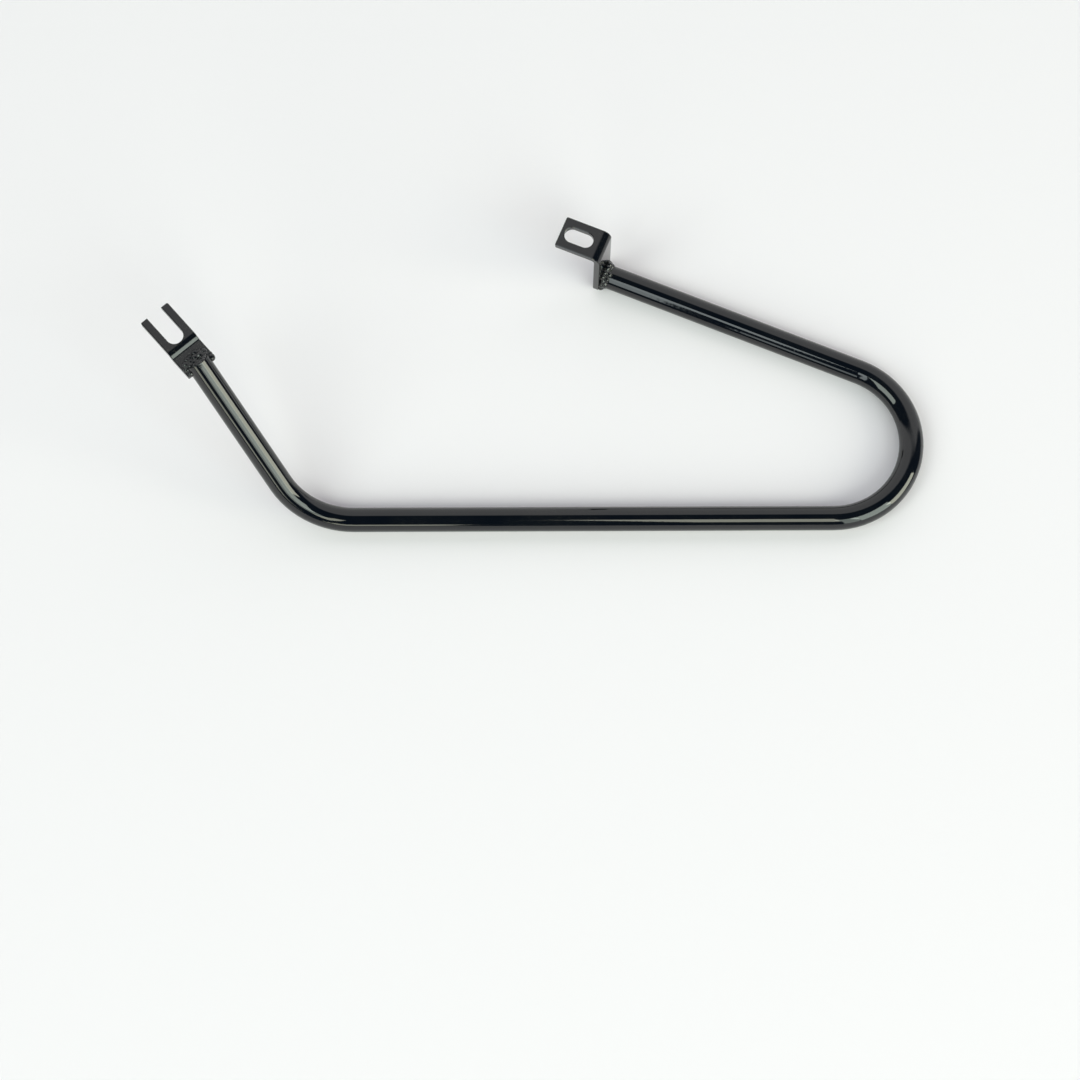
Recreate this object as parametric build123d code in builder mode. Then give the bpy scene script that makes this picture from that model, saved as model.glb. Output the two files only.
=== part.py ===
"""Pannier frame for a motorcycle: one bent tube with a strip bracket welded to each end.

Millimetres, +Z up. The frame lies on its flat loop with the long run along X. The front leg rises out of the
loop's plane to a forked bracket, and the rear leg carries a slotted bracket that stands up to the same side.
The origin is under the middle of the whole frame.
"""

import os
from math import acos, atan2, cos, radians, sin, tan

from build123d import *

# Tube, bent from one length: its section, the straight lengths between the bends and the angles of the legs
TUBE_DIAMETER = 16.5
TUBE_WALL = 1.5
BEND_RADIUS = 54.5
FRONT_LEG = 104.7
LONG_RUN = 321.6
REAR_LEG = 187.6
FRONT_ANGLE = 50.4
FRONT_RISE = 41.2
LOOP_ANGLE = 22.7

# Flat strip that both brackets are cut from
STRIP_WIDTH = 22.4
STRIP_THICKNESS = 4.0
FOLD_RADIUS = 2.0
STRIP_CORNER = 1.0
STRIP_EASE = 0.4

# Forked bracket: whole length, open slot, and the shallow set in the strip between the slot and the tube
FORK_LENGTH = 49.1
FORK_GAP = 11.8
FORK_DEPTH = 27.0
FORK_ANGLE = 49.0
FORK_SET = 2.4
FORK_SET_RUN = 3.3
FORK_SET_FROM_TIP = 33.0
# From where the tube's axis meets the strip's top: how far the tube reaches past it, and the strip behind it
FORK_TUBE_REACH = 2.6
FORK_BEHIND = 2.7

# Slotted bracket: leaf from its end to the welded face, bolt slot, and how far the leaf stands over the tube
SLOT_LEAF = 32.5
SLOT_LENGTH = 20.4
SLOT_WIDTH = 11.0
SLOT_FROM_END = 13.1
SLOT_STANDOFF = 47.0
SLOT_LIP_LIFT = 0.5
SLOT_LIP_CORNER = 7.0

# Weld beads: leg of each on its bracket and on the tube; the fork's also closes the tube with a low cap
FORK_WELD_LEG = 3.0
FORK_WELD_ANGLE = 42.0
FORK_WELD_CORNER = 4.0
FORK_WELD_CAP = 1.5
SLOT_WELD_LEG = 4.5

tube_radius = TUBE_DIAMETER / 2
half_width = STRIP_WIDTH / 2
fold_outside = FOLD_RADIUS + STRIP_THICKNESS
up = Vector(0, 0, 1)


def leaning(angle):
    """Level direction that points back over the long run and away from it by this angle."""
    return Vector(-cos(radians(angle)), sin(radians(angle)), 0)


# Directions of the two legs, out from the bends, and of the two brackets
front_direction = leaning(FRONT_ANGLE) * cos(radians(FRONT_RISE)) + up * sin(radians(FRONT_RISE))
rear_direction = leaning(LOOP_ANGLE)
fork_direction = leaning(FORK_ANGLE)

# Length that each bend takes off the straight runs, from the corner where they would meet
front_setback = BEND_RADIUS * tan(acos(-front_direction.X) / 2)
rear_setback = BEND_RADIUS * tan(radians(180 - LOOP_ANGLE) / 2)

# Centre line from the front end to the rear end, with the front corner over zero
front_corner = up * tube_radius
rear_corner = front_corner + Vector(front_setback + LONG_RUN + rear_setback, 0, 0)
front_end = front_corner + front_direction * (front_setback + FRONT_LEG)
rear_end = rear_corner + rear_direction * (rear_setback + REAR_LEG)

# The origin goes under the middle of the box that holds the fork's tip, the return bend and the slotted leaf
fork_ahead = FORK_LENGTH - FORK_BEHIND
fork_seat = front_end - front_direction * FORK_TUBE_REACH
corner_inset = half_width - STRIP_CORNER
fork_corner = fork_seat + fork_direction * (fork_ahead - STRIP_CORNER)
fork_corner += up.cross(fork_direction) * corner_inset
slot_corner = rear_end + rear_direction * (SLOT_LEAF - STRIP_CORNER)
slot_corner -= up.cross(rear_direction) * corner_inset
bend_reach = front_setback + LONG_RUN + BEND_RADIUS + tube_radius
middle_x = (fork_corner.X - STRIP_CORNER + bend_reach) / 2
middle_y = (slot_corner.Y + STRIP_CORNER - tube_radius) / 2
middle = Vector(middle_x, middle_y, 0)
front_corner -= middle
rear_corner -= middle
front_end -= middle
rear_end -= middle
fork_seat -= middle

# Frames of the brackets: x along the strip, z up; the fork's lies on its top at the tube's axis
fork_frame = Plane(fork_seat, x_dir=fork_direction, z_dir=up)
slot_frame = Plane(rear_end, x_dir=rear_direction, z_dir=up)


def side_view(frame):
    """Plane through the middle of the strip, with x along the strip and y up."""
    return Plane(frame.origin, x_dir=frame.x_dir, z_dir=-frame.y_dir)


# Bent tube, swept along its centre line
with BuildPart() as tube:
    with BuildLine() as centre_line:
        FilletPolyline(front_end, front_corner, rear_corner, rear_end, radius=BEND_RADIUS)
    with BuildSketch(Plane(front_end, z_dir=centre_line.line % 0)):
        Circle(tube_radius)
        Circle(tube_radius - TUBE_WALL, mode=Mode.SUBTRACT)
    sweep()
tube.part.label = "tube"

# Solid rod that stands for the tube's front end where other pieces are fitted round it
front_upright = up * cos(radians(FRONT_RISE)) - leaning(FRONT_ANGLE) * sin(radians(FRONT_RISE))
with BuildPart() as front_rod:
    with BuildSketch(Plane(front_end, x_dir=front_upright, z_dir=-front_direction)):
        Circle(tube_radius)
    extrude(amount=2 * TUBE_DIAMETER)

# Forked bracket: level strip with a shallow set, an open slot at one end and a notch for the tube at the back
set_foot = fork_ahead - FORK_SET_FROM_TIP
set_shift = STRIP_THICKNESS * tan(atan2(FORK_SET, FORK_SET_RUN) / 2)
with BuildPart() as fork_bracket:
    with BuildSketch(side_view(fork_frame)) as fork_profile:
        with BuildLine():
            Polyline(
                (-FORK_BEHIND, 0),
                (set_foot, 0),
                (set_foot + FORK_SET_RUN, FORK_SET),
                (fork_ahead, FORK_SET),
                (fork_ahead, FORK_SET - STRIP_THICKNESS),
                (set_foot + FORK_SET_RUN + set_shift, FORK_SET - STRIP_THICKNESS),
                (set_foot + set_shift, -STRIP_THICKNESS),
                (-FORK_BEHIND, -STRIP_THICKNESS),
                close=True,
            )
        make_face()
        outside = fork_profile.vertices().sort_by_distance((set_foot + FORK_SET_RUN, FORK_SET))[0]
        underside = fork_profile.vertices().sort_by_distance((set_foot + set_shift, -STRIP_THICKNESS))[0]
        fillet([outside, underside], fold_outside)
    extrude(amount=half_width, both=True)
    fillet(fork_bracket.edges().filter_by(Axis.Z), STRIP_CORNER)
    with BuildSketch(fork_frame.offset(FORK_SET)):
        with Locations((fork_ahead, 0)):
            SlotOverall(2 * FORK_DEPTH, FORK_GAP)
    extrude(amount=-2 * STRIP_THICKNESS, mode=Mode.SUBTRACT)
    level_faces = fork_bracket.faces().filter_by(Axis.Z)
    chamfer(level_faces.edges(), STRIP_EASE)
    add(front_rod.part, mode=Mode.SUBTRACT)
fork_bracket.part.label = "fork_bracket"

# Slotted bracket: folded strip with a bolt slot along its leaf, and round lower corners on the lip
slot_bottom = SLOT_LIP_LIFT - tube_radius
with BuildPart() as slot_bracket:
    with BuildSketch(side_view(slot_frame)) as slot_profile:
        with BuildLine():
            Polyline(
                (0, slot_bottom),
                (0, SLOT_STANDOFF),
                (SLOT_LEAF, SLOT_STANDOFF),
                (SLOT_LEAF, SLOT_STANDOFF - STRIP_THICKNESS),
                (STRIP_THICKNESS, SLOT_STANDOFF - STRIP_THICKNESS),
                (STRIP_THICKNESS, slot_bottom),
                close=True,
            )
        make_face()
        fillet(slot_profile.vertices().sort_by_distance((0, SLOT_STANDOFF))[0], fold_outside)
        inside = (STRIP_THICKNESS, SLOT_STANDOFF - STRIP_THICKNESS)
        fillet(slot_profile.vertices().sort_by_distance(inside)[0], FOLD_RADIUS)
    extrude(amount=half_width, both=True)
    along_leaf = slot_bracket.edges().filter_by(Axis((0, 0, 0), tuple(rear_direction)))
    fillet(along_leaf.sort_by(Axis.Z)[:2], SLOT_LIP_CORNER)
    upright = slot_bracket.edges().filter_by(Axis.Z)
    fillet(upright.sort_by(Axis((0, 0, 0), tuple(rear_direction)))[-2:], STRIP_CORNER)
    with BuildSketch(slot_frame.offset(SLOT_STANDOFF)):
        with Locations((SLOT_LEAF - SLOT_FROM_END, 0)):
            SlotOverall(SLOT_LENGTH, SLOT_WIDTH)
    extrude(amount=-STRIP_THICKNESS, mode=Mode.SUBTRACT)
    leaf_faces = slot_bracket.faces().filter_by(Axis.Z).sort_by(Axis.Z)[-2:]
    chamfer(leaf_faces.edges(), STRIP_EASE)
slot_bracket.part.label = "slot_bracket"

# Weld that closes the tube's front end: a plug in the bore with a low cap over the strip
with BuildPart() as end_cap:
    with BuildSketch(Plane(front_end, z_dir=front_direction)):
        Circle(tube_radius - TUBE_WALL)
    extrude(amount=FORK_WELD_CAP, taper=FORK_WELD_ANGLE)
    with BuildSketch(Plane(front_end, z_dir=-front_direction)):
        Circle(tube_radius - TUBE_WALL)
    extrude(amount=FORK_WELD_LEG)
    add(fork_bracket.part, mode=Mode.SUBTRACT)

# Weld of the fork: a bead on the strip's top that slopes up to the tube, along its sides and across its end
bead_front = FORK_TUBE_REACH / cos(radians(FRONT_RISE)) + FORK_WELD_LEG
with BuildPart() as fork_weld:
    with BuildSketch(Plane(fork_seat, x_dir=leaning(FRONT_ANGLE), z_dir=up)):
        with Locations((bead_front, 0)):
            RectangleRounded(
                2 * TUBE_DIAMETER,
                TUBE_DIAMETER + 2 * FORK_WELD_LEG,
                FORK_WELD_CORNER,
                align=(Align.MAX, Align.CENTER),
            )
    extrude(amount=FORK_WELD_LEG, taper=FORK_WELD_ANGLE)
    with BuildSketch(fork_frame):
        with Locations((-FORK_BEHIND, 0)):
            Rectangle(2 * TUBE_DIAMETER, STRIP_WIDTH, align=(Align.MIN, Align.CENTER))
    extrude(amount=FORK_WELD_LEG, mode=Mode.INTERSECT)
    add(front_rod.part, mode=Mode.SUBTRACT)
    add(end_cap.part)
fork_weld.part.label = "fork_weld"

# Weld of the slotted bracket: a sloping bead about the tube, as far down as the lip reaches
with BuildPart() as slot_weld:
    with BuildSketch(Plane(rear_end, x_dir=up, z_dir=-slot_frame.y_dir)):
        with BuildLine():
            Polyline(
                (tube_radius, 0),
                (tube_radius + SLOT_WELD_LEG, 0),
                (tube_radius, SLOT_WELD_LEG),
                close=True,
            )
        make_face()
    revolve(axis=Axis(tuple(rear_end), tuple(rear_direction)))
    lip_face = slot_bracket.faces().sort_by_distance(rear_end)[0]
    extrude(lip_face, amount=SLOT_WELD_LEG, mode=Mode.INTERSECT)
slot_weld.part.label = "slot_weld"

os.makedirs("parts", exist_ok=True)
export_step(tube.part, "parts/tube.step")
export_step(fork_bracket.part, "parts/fork_bracket.step")
export_step(slot_bracket.part, "parts/slot_bracket.step")
export_step(fork_weld.part, "parts/fork_weld.step")
export_step(slot_weld.part, "parts/slot_weld.step")
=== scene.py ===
# %% [markdown]
# Pannier frame for a motorcycle.
# One bent steel tube lies on a white floor. A forked strip is welded to its front end and a slotted strip
# to its rear end, and the whole frame is painted gloss black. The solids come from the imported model, so
# this lesson is about the finish: paint, weld beads and the light that a black part needs to be seen at
# all.

# %% Load the frame
from math import cos, pi, radians, sin, tan

import bpy
from mathutils import Matrix, Vector


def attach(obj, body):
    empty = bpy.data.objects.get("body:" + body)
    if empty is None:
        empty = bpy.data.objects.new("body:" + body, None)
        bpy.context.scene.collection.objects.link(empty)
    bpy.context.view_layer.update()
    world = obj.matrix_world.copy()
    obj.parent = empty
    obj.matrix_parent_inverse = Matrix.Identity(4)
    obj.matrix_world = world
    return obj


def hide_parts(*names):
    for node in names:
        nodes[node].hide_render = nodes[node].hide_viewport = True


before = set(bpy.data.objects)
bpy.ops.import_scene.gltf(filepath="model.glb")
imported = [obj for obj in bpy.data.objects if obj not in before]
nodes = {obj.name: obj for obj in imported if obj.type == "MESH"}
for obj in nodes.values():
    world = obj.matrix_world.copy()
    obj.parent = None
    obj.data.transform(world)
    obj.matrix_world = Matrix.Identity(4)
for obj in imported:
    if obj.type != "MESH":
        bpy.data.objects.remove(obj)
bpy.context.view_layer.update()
MM = 0.001


# %% [markdown]
# Node trees are easier to read as sums than as wires.
# The class below holds one output of a node, so `1 - mask` or `grain * 0.2` adds the Math node by itself.
# Everything that isn't arithmetic goes through one method, which takes a node's type, its settings and
# what its sockets get.

# %% Write node trees as expressions
class Signal:
    """One output of a node, which can be used in sums."""

    def __init__(self, graph, socket):
        self.graph = graph
        self.socket = socket

    def math(self, operation, first, second):
        return self.graph.add("ShaderNodeMath", {"operation": operation}, {0: first, 1: second})

    def __add__(self, other):
        return self.math("ADD", self, other)

    def __radd__(self, other):
        return self.math("ADD", other, self)

    def __sub__(self, other):
        return self.math("SUBTRACT", self, other)

    def __rsub__(self, other):
        return self.math("SUBTRACT", other, self)

    def __mul__(self, other):
        return self.math("MULTIPLY", self, other)

    def __rmul__(self, other):
        return self.math("MULTIPLY", other, self)

    def above(self, level, width):
        """0 below the level and 1 above it, with a soft step of that width between them."""
        settings = {"interpolation_type": "SMOOTHSTEP"}
        ends = {"Value": self, "From Min": level - width / 2, "From Max": level + width / 2}
        return self.graph.add("ShaderNodeMapRange", settings, ends)


class Graph:
    """A node tree of any kind, with one method that adds a node to it."""

    def __init__(self, tree):
        self.tree = tree

    def add(self, kind, settings=None, sockets=None, output=0):
        node = self.tree.nodes.new(kind)
        for name, value in (settings or {}).items():
            setattr(node, name, value)
        for key, value in (sockets or {}).items():
            if isinstance(value, Signal):
                self.tree.links.new(value.socket, node.inputs[key])
            else:
                node.inputs[key].default_value = value
        if not node.outputs:
            return node
        return Signal(self, node.outputs[output])


print("helpers ready:", Signal.__name__, Graph.__name__)


# %% [markdown]
# Gloss black paint on steel.
# The real paint is nearly black, a little blue, and almost all that is seen of it is what it mirrors. A
# flat black would look like plastic, so four things break the mirror up: the slow ripple of sprayed paint
# (orange peel), a fine grain from the steel below, a few hard nibs of dust caught under the paint, and
# loose dust that lies on top and dulls it. Each is a pattern on Object coordinates, so it stays put on
# the part.

# %% Colours and sizes of the paint
BLACK = (0.0009, 0.0015, 0.0028, 1.0)
BLACK_WORN = (0.0030, 0.0036, 0.0044, 1.0)
DUST = (0.17, 0.165, 0.13, 1.0)
PAINT_IOR = 1.58
STEEL_GRAIN = 0.45 * MM
CLOUD_SIZE = 28.0 * MM
SPECK_SIZE = 0.35 * MM
NIB_SPACING = 7.0 * MM
NIB_SHARE = 0.22
NIB_HEIGHT = 0.8
CLOUDS_DULL = 0.03
DUST_DULLS = 0.25
RELIEF = 0.05 * MM
RELIEF_STRENGTH = 0.35
print("paint: nibs", NIB_SPACING, "m apart, clouds of", CLOUD_SIZE, "m, relief of", RELIEF, "m")


# %% Make the paint
def black_paint(name, roughness, ripple, ripple_size, grain, nibs, dust):
    """Gloss black paint; ripple_size in metres, the other amounts from 0 to about 1."""
    material = bpy.data.materials.new(name)
    material.use_nodes = True
    material.node_tree.nodes.clear()
    graph = Graph(material.node_tree)
    place = graph.add("ShaderNodeTexCoord", output="Object")

    def noise(size, detail):
        sockets = {"Vector": place, "Scale": 1 / size, "Detail": detail, "Roughness": 0.55}
        return graph.add("ShaderNodeTexNoise", {}, sockets)

    def mix(share, first, second):
        return graph.add("ShaderNodeMix", {"data_type": "RGBA"}, {0: share, 6: first, 7: second}, 2)

    peel = noise(ripple_size, detail=1.0)
    steel = noise(STEEL_GRAIN, detail=3.0)
    clouds = noise(CLOUD_SIZE, detail=3.0)
    cells = {"Vector": place, "Scale": 1 / NIB_SPACING, "Randomness": 1.0}
    to_nib = graph.add("ShaderNodeTexVoronoi", {"feature": "F1"}, cells, "Distance")
    nib_draw = graph.add("ShaderNodeTexVoronoi", {"feature": "F1"}, cells, "Color")
    draw = graph.add("ShaderNodeSeparateColor", {}, {"Color": nib_draw}, "Red")
    kept = draw.above(level=1 - NIB_SHARE * nibs, width=0.02)
    nib = (1 - to_nib.above(level=0.055, width=0.06)) * kept
    specks = noise(SPECK_SIZE, detail=1.0).above(level=0.70, width=0.05)
    dusty = specks * clouds.above(level=0.52, width=0.25) * dust

    shade = mix(clouds.above(level=0.55, width=0.5), BLACK, BLACK_WORN)
    height = peel * ripple + steel * grain + nib * (NIB_HEIGHT * nibs)
    relief = {"Strength": RELIEF_STRENGTH, "Distance": RELIEF, "Height": height}
    surface = graph.add(
        "ShaderNodeBsdfPrincipled",
        {},
        {
            "Base Color": mix(dusty, shade, DUST),
            "Roughness": roughness + CLOUDS_DULL * clouds + DUST_DULLS * dusty,
            "IOR": PAINT_IOR,
            "Normal": graph.add("ShaderNodeBump", {}, relief),
        },
    )
    graph.add("ShaderNodeOutputMaterial", {}, {"Surface": surface})
    return material


tube_paint = black_paint(
    "black_paint_on_tube", roughness=0.03, ripple=0.5, ripple_size=3.5 * MM, grain=0.05, nibs=1.0, dust=0.25
)
fork_paint = black_paint(
    "black_paint_on_fork", roughness=0.07, ripple=0.4, ripple_size=2.4 * MM, grain=0.35, nibs=0.6, dust=0.7
)
strip_paint = black_paint(
    "black_paint_on_strip", roughness=0.05, ripple=0.4, ripple_size=2.4 * MM, grain=0.25, nibs=0.6, dust=0.3
)
weld_paint = black_paint(
    "black_paint_on_weld", roughness=0.05, ripple=0.9, ripple_size=1.1 * MM, grain=0.15, nibs=0.8, dust=0.15
)
print("made", [paint.name for paint in (tube_paint, fork_paint, strip_paint, weld_paint)])

# %% Paint the tube and the brackets
for name, material in (("tube", tube_paint), ("fork_bracket", fork_paint), ("slot_bracket", strip_paint)):
    for material_slot in nodes[name].material_slots:
        material_slot.material = material
    print(name, "painted with", material.name)


# %% [markdown]
# Weld beads.
# Each bracket is held by one hand-laid bead: puddles of steel that froze one after the other, each a
# little bigger or smaller and a little off the line. A swept tube would look machined, so a Geometry
# Nodes tree drops balls along the seam, shakes them, melts them into one skin by way of a volume, and
# dents that skin with a noise. The same tree makes both beads, and its inputs say how big and how untidy
# they are.

# %% Tree for a weld bead
BALL_DETAIL = 3
MELT_BAND = 1.2 * MM
MELT_LEVEL = 0.12
SIZE_DRAW = 7


def bead_tree():
    """Geometry Nodes tree that turns a line of edges into a lumpy bead."""
    tree = bpy.data.node_groups.new("weld_bead", "GeometryNodeTree")
    tree.is_modifier = True
    for name, kind, value in (
        ("Seam", "NodeSocketGeometry", None),
        ("Pitch", "NodeSocketFloat", 3.2 * MM),
        ("Puddle Smallest", "NodeSocketFloat", 2.2 * MM),
        ("Puddle Largest", "NodeSocketFloat", 3.2 * MM),
        ("Wander", "NodeSocketFloat", 0.6 * MM),
        ("Skin", "NodeSocketFloat", 0.2 * MM),
        ("Crag", "NodeSocketFloat", 0.25 * MM),
        ("Crag Size", "NodeSocketFloat", 2.4 * MM),
        ("Seed", "NodeSocketInt", 1),
        ("Paint", "NodeSocketMaterial", None),
    ):
        socket = tree.interface.new_socket(name, in_out="INPUT", socket_type=kind)
        if value is not None:
            socket.default_value = value
    tree.interface.new_socket("Bead", in_out="OUTPUT", socket_type="NodeSocketGeometry")
    graph = Graph(tree)
    inputs = tree.nodes.new("NodeGroupInput")

    def given(name):
        return Signal(graph, inputs.outputs[name])

    def moved(geometry, direction, distance):
        offset = graph.add("ShaderNodeVectorMath", {"operation": "SCALE"}, {0: direction, "Scale": distance})
        return graph.add("GeometryNodeSetPosition", {}, {"Geometry": geometry, "Offset": offset})

    seam = graph.add("GeometryNodeMeshToCurve", {}, {"Mesh": given("Seam")})
    puddles = graph.add(
        "GeometryNodeCurveToPoints", {"mode": "LENGTH"}, {"Curve": seam, "Length": given("Pitch")}
    )
    shake = graph.add(
        "FunctionNodeRandomValue",
        {"data_type": "FLOAT_VECTOR"},
        {0: (-1.0, -1.0, -1.0), 1: (1.0, 1.0, 1.0), "Seed": given("Seed")},
    )
    laid = moved(puddles, shake, given("Wander"))
    ball = graph.add("GeometryNodeMeshIcoSphere", {}, {"Radius": 1.0, "Subdivisions": BALL_DETAIL})
    size = graph.add(
        "FunctionNodeRandomValue",
        {"data_type": "FLOAT"},
        {2: given("Puddle Smallest"), 3: given("Puddle Largest"), "Seed": given("Seed") + SIZE_DRAW},
        1,
    )
    balls = graph.add(
        "GeometryNodeInstanceOnPoints", {}, {"Points": laid, "Instance": ball, "Scale": size}
    )
    solid = graph.add("GeometryNodeRealizeInstances", {}, {"Geometry": balls})
    volume = graph.add(
        "GeometryNodeMeshToVolume",
        {"resolution_mode": "VOXEL_SIZE"},
        {"Mesh": solid, "Density": 1.0, "Voxel Size": given("Skin"), "Interior Band Width": MELT_BAND},
    )
    skin = graph.add(
        "GeometryNodeVolumeToMesh",
        {"resolution_mode": "VOXEL_SIZE"},
        {"Volume": volume, "Voxel Size": given("Skin"), "Threshold": MELT_LEVEL},
    )
    per_metre = graph.add("ShaderNodeMath", {"operation": "DIVIDE"}, {0: 1.0, 1: given("Crag Size")})
    rough = graph.add("ShaderNodeTexNoise", {}, {"Scale": per_metre, "Detail": 2.0, "Roughness": 0.6})
    outward = graph.add("GeometryNodeInputNormal")
    craggy = moved(skin, outward, (rough - 0.5) * 2.0 * given("Crag"))
    smooth = graph.add("GeometryNodeSetShadeSmooth", {}, {"Geometry": craggy})
    whole = graph.add("GeometryNodeRealizeInstances", {}, {"Geometry": smooth})
    painted = graph.add("GeometryNodeSetMaterial", {}, {"Geometry": whole, "Material": given("Paint")})
    graph.add("NodeGroupOutput", {}, {0: painted})
    return tree


weld_tree = bead_tree()
print("tree", weld_tree.name, "has", len(weld_tree.nodes), "nodes")


# %% Lay a bead along a seam
def lay_bead(name, passes, **settings):
    """Plain mesh piece of a bead laid in these passes, each a list of points in metres."""
    points = []
    edges = []
    for line_of_points in passes:
        first = len(points)
        points.extend(line_of_points)
        edges.extend((i, i + 1) for i in range(first, len(points) - 1))
    line = bpy.data.meshes.new(name + "_seam")
    line.from_pydata(points, edges, [])
    carrier = bpy.data.objects.new(name + "_seam", line)
    bpy.context.scene.collection.objects.link(carrier)
    modifier = carrier.modifiers.new("Weld", "NODES")
    modifier.node_group = weld_tree
    for item in weld_tree.interface.items_tree:
        if item.in_out == "INPUT" and item.name in settings:
            modifier[item.identifier] = settings[item.name]
    evaluated = carrier.evaluated_get(bpy.context.evaluated_depsgraph_get())
    mesh = bpy.data.meshes.new_from_object(evaluated)
    carrier.modifiers.clear()
    bpy.data.objects.remove(carrier)
    mesh.name = name
    piece = bpy.data.objects.new(name, mesh)
    bpy.context.scene.collection.objects.link(piece)
    print(name, "laid in", len(passes), "passes, with", len(mesh.polygons), "faces")
    return piece


# %% [markdown]
# Where the beads run.
# A welder goes round a joint more than once. At the fork one pass follows the edge of the tube on the
# strip, a second fills the valley behind it, and rows across the end of the tube close its mouth. At the
# slotted strip one pass lies on the strip and one on the tube. All are arcs in millimetres, measured
# along the leg, across it and up, so a small frame of directions at each end of the tube turns them into
# places on the part.

# %% Directions at the two ends of the tube
FRONT_ANGLE = radians(50.4)
FRONT_RISE = radians(41.2)
LOOP_ANGLE = radians(22.7)
FORK_SEAT = Vector((-221.329, -17.815, 96.792)) * MM
REAR_END = Vector((45.026, 81.429, 8.25)) * MM
UP = Vector((0, 0, 1))


def level_frame(origin, angle):
    """Turns places along and across a leg, and up, into the part's frame."""
    along = Vector((-cos(angle), sin(angle), 0))
    across = UP.cross(along)
    return lambda a, b, h: origin + (along * a + across * b + UP * h) * MM


at_fork = level_frame(FORK_SEAT, FRONT_ANGLE)
at_slot = level_frame(REAR_END, LOOP_ANGLE)
print("10 mm ahead of the fork's seat is", [round(value, 4) for value in at_fork(10, 0, 0)])


# %% Lay the bead at the fork
ARC_STEP = 10


def arc_pass(place, reach, centre, aside, ahead=0.0, height=0.0, rise=0.0):
    """Points of one pass round the tube, as far as this many degrees to each side, in millimetres."""
    turns = [radians(step) for step in range(-reach, reach + 1, ARC_STEP)]
    return [place(centre + ahead * cos(t), aside * sin(t), height + rise * cos(t)) for t in turns]


ridge = arc_pass(at_fork, reach=105, centre=0.2, ahead=7.4, aside=9.3, height=-0.2)
valley = arc_pass(at_fork, reach=70, centre=0.2, ahead=4.2, aside=6.5, height=0.6)

# The rows step up the tube's end, and the sign of each half width says from which side the row starts.
TUBE_REACH = 2.6
MOUTH_SUNK = 1.0
MOUTH_ROWS = ((-0.2, 4.8), (3.2, -4.0), (5.1, 2.4))
mouth_depth = TUBE_REACH - MOUTH_SUNK
mouth = []
for up_end, half_width in MOUTH_ROWS:
    ahead = mouth_depth * cos(FRONT_RISE) - up_end * sin(FRONT_RISE)
    height = mouth_depth * sin(FRONT_RISE) + up_end * cos(FRONT_RISE)
    mouth.append(at_fork(ahead, half_width, height))
    mouth.append(at_fork(ahead, -half_width, height))

fork_puddles = {
    "Pitch": 3.3 * MM,
    "Puddle Smallest": 2.2 * MM,
    "Puddle Largest": 3.1 * MM,
    "Wander": 0.6 * MM,
}
fork_weld = lay_bead("fork_weld_bead", [ridge, valley, mouth], Seed=5, Paint=weld_paint, **fork_puddles)

# %% Lay the bead at the slotted strip
on_lip = arc_pass(at_slot, reach=100, centre=-0.9, aside=7.8, rise=9.2)
on_tube = arc_pass(at_slot, reach=100, centre=-3.2, aside=6.8, rise=7.2)
slot_puddles = {
    "Pitch": 3.2 * MM,
    "Puddle Smallest": 2.2 * MM,
    "Puddle Largest": 3.2 * MM,
    "Wander": 0.6 * MM,
}
slot_weld = lay_bead("slot_weld_bead", [on_lip, on_tube], Seed=11, Paint=weld_paint, **slot_puddles)

# %% Put the beads in the place of the smooth ones
for piece, node in ((fork_weld, "fork_weld"), (slot_weld, "slot_weld")):
    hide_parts(node)
    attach(piece, "root")
    print(piece.name, "replaces", node)


# %% [markdown]
# White floor.
# The part lies flat, so the floor touches the long run, the return bend and the rear leg. A plain matt
# white is enough: it shows the soft shadow, and its mirror image makes the pale edges along the underside
# of the tube.

# %% Floor
FLOOR_HALF = 6.0
FLOOR_WHITE = (0.85, 0.802, 0.842, 1.0)
floor_mesh = bpy.data.meshes.new("floor")
corners = [(-1, -1), (1, -1), (1, 1), (-1, 1)]
floor_mesh.from_pydata([(x * FLOOR_HALF, y * FLOOR_HALF, 0.0) for x, y in corners], [], [(0, 1, 2, 3)])
floor = bpy.data.objects.new("floor", floor_mesh)
bpy.context.scene.collection.objects.link(floor)
floor_material = bpy.data.materials.new("white_floor")
floor_material.use_nodes = True
floor_material.node_tree.nodes.clear()
floor_graph = Graph(floor_material.node_tree)
matt = floor_graph.add("ShaderNodeBsdfDiffuse", {}, {"Color": FLOOR_WHITE})
floor_graph.add("ShaderNodeOutputMaterial", {}, {"Surface": matt})
floor_mesh.materials.append(floor_material)
print("floor", 2 * FLOOR_HALF, "m wide")


# %% [markdown]
# Studio light.
# Black gloss paint shows the room, so the light is built like one: a white wall behind the part turns the
# upper band of the tube dark grey, and a dark ceiling leaves a black band. They could be modelled as
# planes, but a world of two tones does the same and can't throw a shadow. LEVEL sets the wall and all
# lamps together, so that a colour on the floor renders about as it is written.

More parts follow.
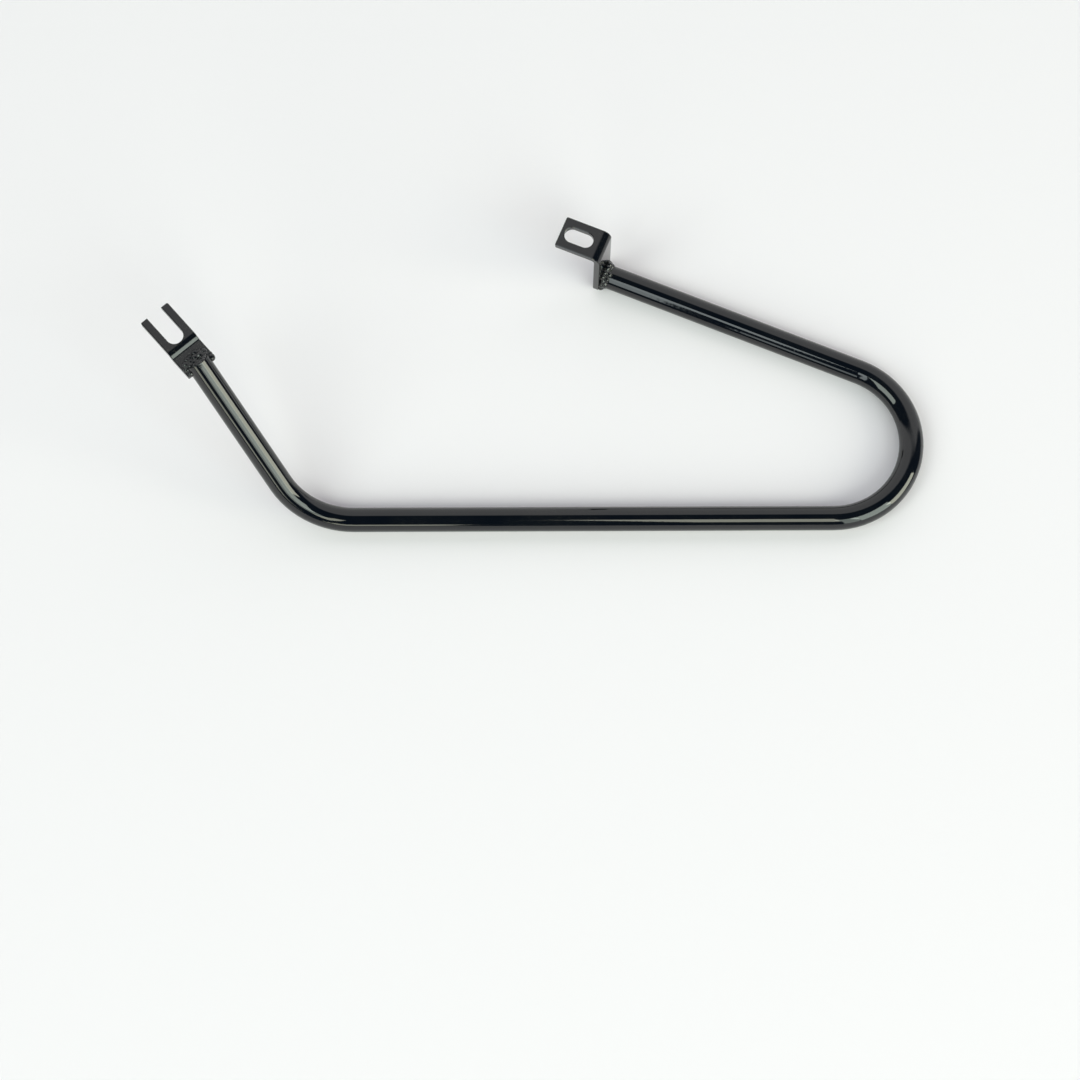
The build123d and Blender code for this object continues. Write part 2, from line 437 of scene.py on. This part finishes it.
# %% Wall and ceiling
LEVEL = 0.735
CEILING = (0.05, 0.08, 0.13, 1.0)
WALL = (1.25, 1.26, 1.27, 1.0)
WALL_EDGE = radians(71.0)
WALL_END = radians(25.0)
EDGE_SOFTNESS = 0.12
END_SOFTNESS = 0.10
world = bpy.data.worlds.new("studio")
bpy.context.scene.world = world
world.use_nodes = True
world.node_tree.nodes.clear()
room = Graph(world.node_tree)
looking = room.add("ShaderNodeTexCoord", output="Generated")
side, back, high = (room.add("ShaderNodeSeparateXYZ", {}, {"Vector": looking}, axis) for axis in "XYZ")
under_edge = (back * sin(WALL_EDGE) - high * cos(WALL_EDGE)).above(0.0, EDGE_SOFTNESS)
left_of_end = (back * cos(WALL_END) - side * sin(WALL_END)).above(0.0, END_SOFTNESS)
wall = under_edge * left_of_end
tone = room.add("ShaderNodeMix", {"data_type": "RGBA"}, {0: wall, 6: CEILING, 7: WALL}, 2)
light = room.add("ShaderNodeBackground", {}, {"Color": tone, "Strength": LEVEL})
room.add("ShaderNodeOutputWorld", {}, {"Surface": light})
print("wall", WALL[:3], "ceiling", CEILING[:3])


# %% [markdown]
# Softboxes.
# The pale stripes on the tube are mirrored lamps. Each is an area lamp, placed and sized by the angles at
# which the part sees it. All hang nine metres away: near lamps would light the floor unevenly, and from
# afar a lamp's direction alone decides where its stripe falls. Those on the right draw the broad stripe
# of the front leg and the end of the return bend, those in front the lines of the long run, and those on
# the left the rear leg's.

# %% One softbox
AIM = Vector((0.0, -0.03, 0.02))
LAMP_DISTANCE = 9.0


def softbox(name, azimuth, elevation, width, height, brightness, colour, roll=0.0):
    """Area lamp that the part sees in this direction, with this width and height, all in degrees."""
    lamp = bpy.data.lights.new(name, "AREA")
    lamp.shape = "RECTANGLE"
    lamp.size = 2 * LAMP_DISTANCE * tan(radians(width) / 2)
    lamp.size_y = 2 * LAMP_DISTANCE * tan(radians(height) / 2)
    lamp.energy = pi * lamp.size * lamp.size_y * brightness * LEVEL
    lamp.color = colour
    level = Vector((cos(radians(azimuth)), sin(radians(azimuth)), 0))
    out = level * cos(radians(elevation)) + UP * sin(radians(elevation))
    face = out.to_track_quat("Z", "Y").to_matrix().to_4x4() @ Matrix.Rotation(radians(roll), 4, "Z")
    holder = bpy.data.objects.new(name, lamp)
    holder.matrix_world = Matrix.Translation(AIM + out * LAMP_DISTANCE) @ face
    holder.visible_camera = False
    bpy.context.scene.collection.objects.link(holder)
    print("softbox", name, "at", azimuth, elevation, "sized", round(lamp.size, 2), round(lamp.size_y, 2))


print("lamps aim at", list(AIM), "from", LAMP_DISTANCE, "m")

# %% All softboxes
MINT = (0.89, 1.0, 0.90)
CREAM = (0.98, 1.0, 0.82)
PALE_BLUE = (0.90, 1.0, 1.0)
# Name, azimuth, elevation, width, height, brightness, colour and, where it is tilted, roll.
softbox("right_low", -17.8, 21.5, 28, 25, 8.5, CREAM)
softbox("right", -46, 29, 27, 42, 6.3, MINT)
softbox("front_right", -67.5, 28, 12.6, 48, 3.6, MINT)
softbox("front_high", -80.5, 50, 8, 26, 5.5, CREAM)
softbox("slit", -102.4, 15, 19.4, 22, 4.5, CREAM)
softbox("left", -153, 45, 23, 38, 5.6, MINT)
softbox("left_bar", -122, 56, 6, 16, 4.4, PALE_BLUE)
softbox("left_tall", -122.5, 32.5, 4.6, 31, 3.7, PALE_BLUE, 4.8)
softbox("left_slit", -115, 20, 4, 15, 2.6, PALE_BLUE)


# %% [markdown]
# Camera.
# The picture is taken from the front, well above the part: 72 degrees over the floor, two metres away,
# with a long lens so that the two ends of the frame keep the same scale.

# %% Camera
SENSOR_WIDTH = 36.0
FOCAL_LENGTH = 100.0
CAMERA_PLACE = Vector((-2.27, -730.9, 1917.9)) * MM
CAMERA_TILT = radians(18.0)
CAMERA_TURN = radians(-0.22)
lens = bpy.data.cameras.new("camera")
lens.sensor_width = SENSOR_WIDTH
lens.lens = FOCAL_LENGTH
camera = bpy.data.objects.new("camera", lens)
camera.location = CAMERA_PLACE
camera.rotation_euler = (CAMERA_TILT, 0.0, CAMERA_TURN)
bpy.context.scene.collection.objects.link(camera)
bpy.context.scene.camera = camera
bpy.context.scene.view_settings.view_transform = "Standard"
print("camera at", [round(value, 3) for value in camera.location])
